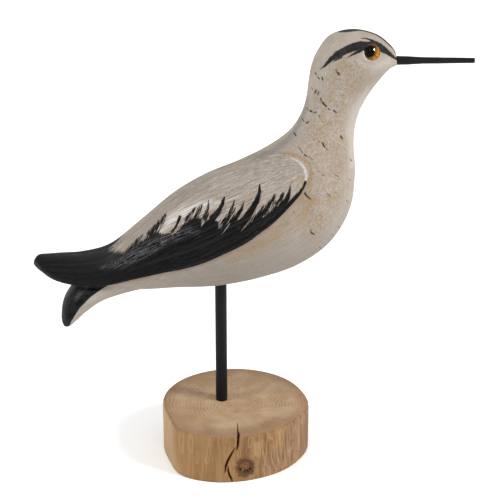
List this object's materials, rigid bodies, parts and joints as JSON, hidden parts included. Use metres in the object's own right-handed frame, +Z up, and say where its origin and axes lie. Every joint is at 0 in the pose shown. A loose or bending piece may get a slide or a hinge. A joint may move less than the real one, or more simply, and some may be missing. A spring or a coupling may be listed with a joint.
{
  "type": "shorebird decoy",
  "caption": "Carved and painted wooden shorebird with glass eyes and a long straight bill, held upright on a black rod in a slice of log.",
  "frame": {"origin": "centre of the log slice's underside, on the surface that the decoy stands on", "axes": "+Z up; the bird faces +X; its right side looks along -Y"},
  "size_m": [0.2901, 0.1014, 0.3021],
  "materials": {
    "painted_wood": "pale grey distemper over carved wood, dry-brushed black on wings and tail",
    "bill": "matt black paint on a whittled peg",
    "eye_glass": "clear glass over a painted amber iris",
    "rod": "matt black paint",
    "log_slice": "bare, dry, slightly weathered"
  },
  "bodies": {
    "root": {"carved_bird": "painted_wood", "bill": "bill", "eye_right": "eye_glass", "eye_left": "eye_glass", "rod": "rod", "base": "log_slice"}
  },
  "joints": []
}
